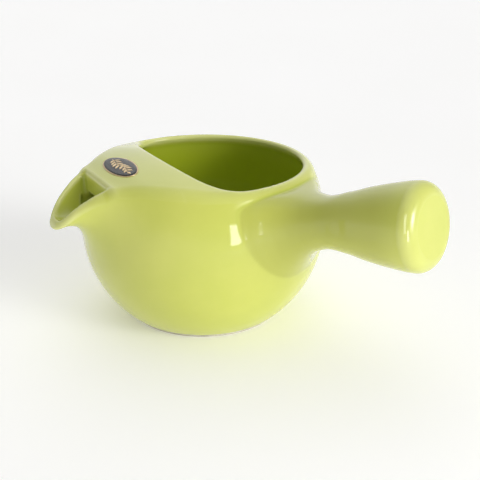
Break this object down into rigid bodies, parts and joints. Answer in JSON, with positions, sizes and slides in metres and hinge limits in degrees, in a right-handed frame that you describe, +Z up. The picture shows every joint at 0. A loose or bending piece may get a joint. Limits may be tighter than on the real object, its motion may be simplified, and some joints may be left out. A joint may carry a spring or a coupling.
{
  "type": "lidless side-handled teapot",
  "caption": "Round lidless teapot with a hooded mouth, an open beak spout, a strainer inside the spout and a hollow side handle.",
  "frame": {"origin": "centre of the foot ring's underside, where the pot stands", "axes": "+Z up out of the mouth, -Y along the spout, +X to the handle's side; the handle is turned 20 degrees from +X towards +Y"},
  "size_m": [0.1513, 0.1152, 0.0747],
  "materials": {
    "glaze": "glossy lime-green glaze on stoneware",
    "bare_clay": "unglazed, matt",
    "mesh": "fine stainless mesh, dark in the shade of the hood",
    "ring": "satin stainless ring",
    "gold_foil": "satin gold foil",
    "black_film": "semi-gloss black film"
  },
  "bodies": {
    "root": {"bowl": "glaze", "hood": "glaze", "spout": "glaze", "handle": "glaze", "handle_end": "glaze", "foot_ring": "bare_clay", "strainer_ring": "ring", "strainer_mesh": "mesh", "label_foil": "gold_foil", "label_film": "black_film", "label_sprig": "gold_foil"}
  },
  "joints": []
}
